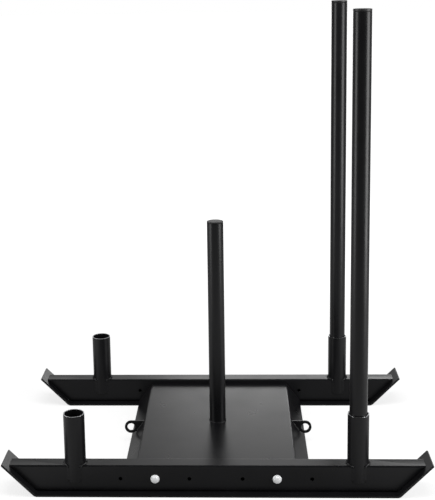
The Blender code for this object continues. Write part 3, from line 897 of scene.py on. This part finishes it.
# Mirrored in the coat, the paper under and close round the sled is dark, as if in the sled's own shade.
close = add_node(tree, "ShaderNodeMapRange", {"interpolation_type": "SMOOTHSTEP"}, {
    "Value": away.outputs["Value"], "From Min": 0.5, "From Max": 0.8, "To Min": 1.0, "To Max": 0.0})
shaded = add_node(tree, "ShaderNodeMath", {"operation": "MULTIPLY"}, {
    0: rays["Is Glossy Ray"], 1: close.outputs["Result"]})
tone = add_node(tree, "ShaderNodeMix", {"data_type": "RGBA"}, {
    "Factor": shaded.outputs["Value"], "A": PAPER_GREY, "B": PAPER_SHADE})
matt = add_node(tree, "ShaderNodeBsdfDiffuse", inputs={"Color": tone.outputs["Result"]})
both = add_node(tree, "ShaderNodeAddShader", inputs={0: shine.outputs["Emission"], 1: matt.outputs["BSDF"]})
add_node(tree, "ShaderNodeOutputMaterial", inputs={"Surface": both.outputs["Shader"]})
floor_mesh.materials.append(paper)

surround = bpy.data.worlds.new("studio_surround")
surround.use_nodes = True
tree = surround.node_tree
tree.nodes.clear()
rays, seen = seen_white(tree)
direction = add_node(tree, "ShaderNodeTexCoord").outputs["Generated"]
toward = add_node(tree, "ShaderNodeSeparateXYZ", inputs={"Vector": direction})
# It is brightest on the far side of the sled, a little above the floor's edge.
far_side = add_node(tree, "ShaderNodeMapRange", {"interpolation_type": "SMOOTHSTEP"}, {
    "Value": toward.outputs["Y"], "From Min": 0.1, "From Max": 0.9, "To Min": 0.25, "To Max": 1.0})
surround_ramp = add_node(tree, "ShaderNodeValToRGB", inputs={"Fac": toward.outputs["Z"]})
wall = add_node(tree, "ShaderNodeMath", {"operation": "MULTIPLY"}, {
    0: far_side.outputs["Result"], 1: surround_ramp.outputs["Color"]})
mirrored = add_node(tree, "ShaderNodeMath", {"operation": "MULTIPLY"}, {
    0: rays["Is Glossy Ray"], 1: wall.outputs["Value"]})
bright = add_node(tree, "ShaderNodeMath", {"operation": "ADD"}, {0: seen, 1: mirrored.outputs["Value"]})
soft = add_node(tree, "ShaderNodeMath", {"operation": "MULTIPLY"}, {
    0: rays["Is Diffuse Ray"], 1: SURROUND_FILL})
level = add_node(tree, "ShaderNodeMath", {"operation": "ADD", "use_clamp": True}, {
    0: bright.outputs["Value"], 1: soft.outputs["Value"]})
sky = add_node(tree, "ShaderNodeBackground", inputs={
    "Color": STUDIO_WHITE, "Strength": level.outputs["Value"]})
add_node(tree, "ShaderNodeOutputWorld", inputs={"Surface": sky.outputs["Background"]})
for ramp, tones, interpolation in ((paper_ramp, PAPER_TONES, "EASE"),
                                   (surround_ramp, SURROUND_TONES, "LINEAR")):
    ramp.color_ramp.interpolation = interpolation
    stops = ramp.color_ramp.elements
    for at, (where, grey) in enumerate(tones):
        stop = stops[at] if at < 2 else stops.new(where)
        stop.position, stop.color = where, (grey, grey, grey, 1.0)
bpy.context.scene.world = surround

for name, place, aim, size, power in SOFTBOXES:
    lamp = bpy.data.lights.new(name, "AREA")
    lamp.shape, lamp.size, lamp.size_y, lamp.energy = "RECTANGLE", size[0], size[1], power
    stand = add_object(name, lamp)
    stand.location = place
    stand.visible_camera = False
    stand.visible_glossy = name != "overhead_softbox"
    stand.rotation_euler = (Vector(aim) - Vector(place)).to_track_quat("-Z", "Y").to_euler()


# Camera
# A 79 mm view from beside the left runner, 1.5 m up, turned a little to the left and tipped down.
# The lens is shifted a little both ways, as the photograph's framing needs.

CAMERA_PLACE = (0.0687, -3.2248, 1.4721)
CAMERA_YAW, CAMERA_PITCH, CAMERA_ROLL = -0.0456, 0.1797, -0.0183
CAMERA_LENS = 78.84
CAMERA_SENSOR = 36.0
CAMERA_SHIFT = (0.059, -0.174)

lens = bpy.data.cameras.new("portrait_lens")
lens.sensor_width, lens.lens = CAMERA_SENSOR, CAMERA_LENS
lens.shift_x, lens.shift_y = CAMERA_SHIFT
camera = add_object("portrait_camera", lens)
facing = Vector((math.sin(CAMERA_YAW) * math.cos(CAMERA_PITCH),
                 math.cos(CAMERA_YAW) * math.cos(CAMERA_PITCH), -math.sin(CAMERA_PITCH)))
level_right = Vector((math.cos(CAMERA_YAW), -math.sin(CAMERA_YAW), 0.0))
level_up = level_right.cross(facing)
camera_right = math.cos(CAMERA_ROLL) * level_right + math.sin(CAMERA_ROLL) * level_up
camera_up = -math.sin(CAMERA_ROLL) * level_right + math.cos(CAMERA_ROLL) * level_up
for row in range(3):
    for column, part in enumerate((camera_right, camera_up, -facing, CAMERA_PLACE)):
        camera.matrix_world[row][column] = part[row]
bpy.context.scene.camera = camera
bpy.context.scene.view_settings.view_transform = "Standard"
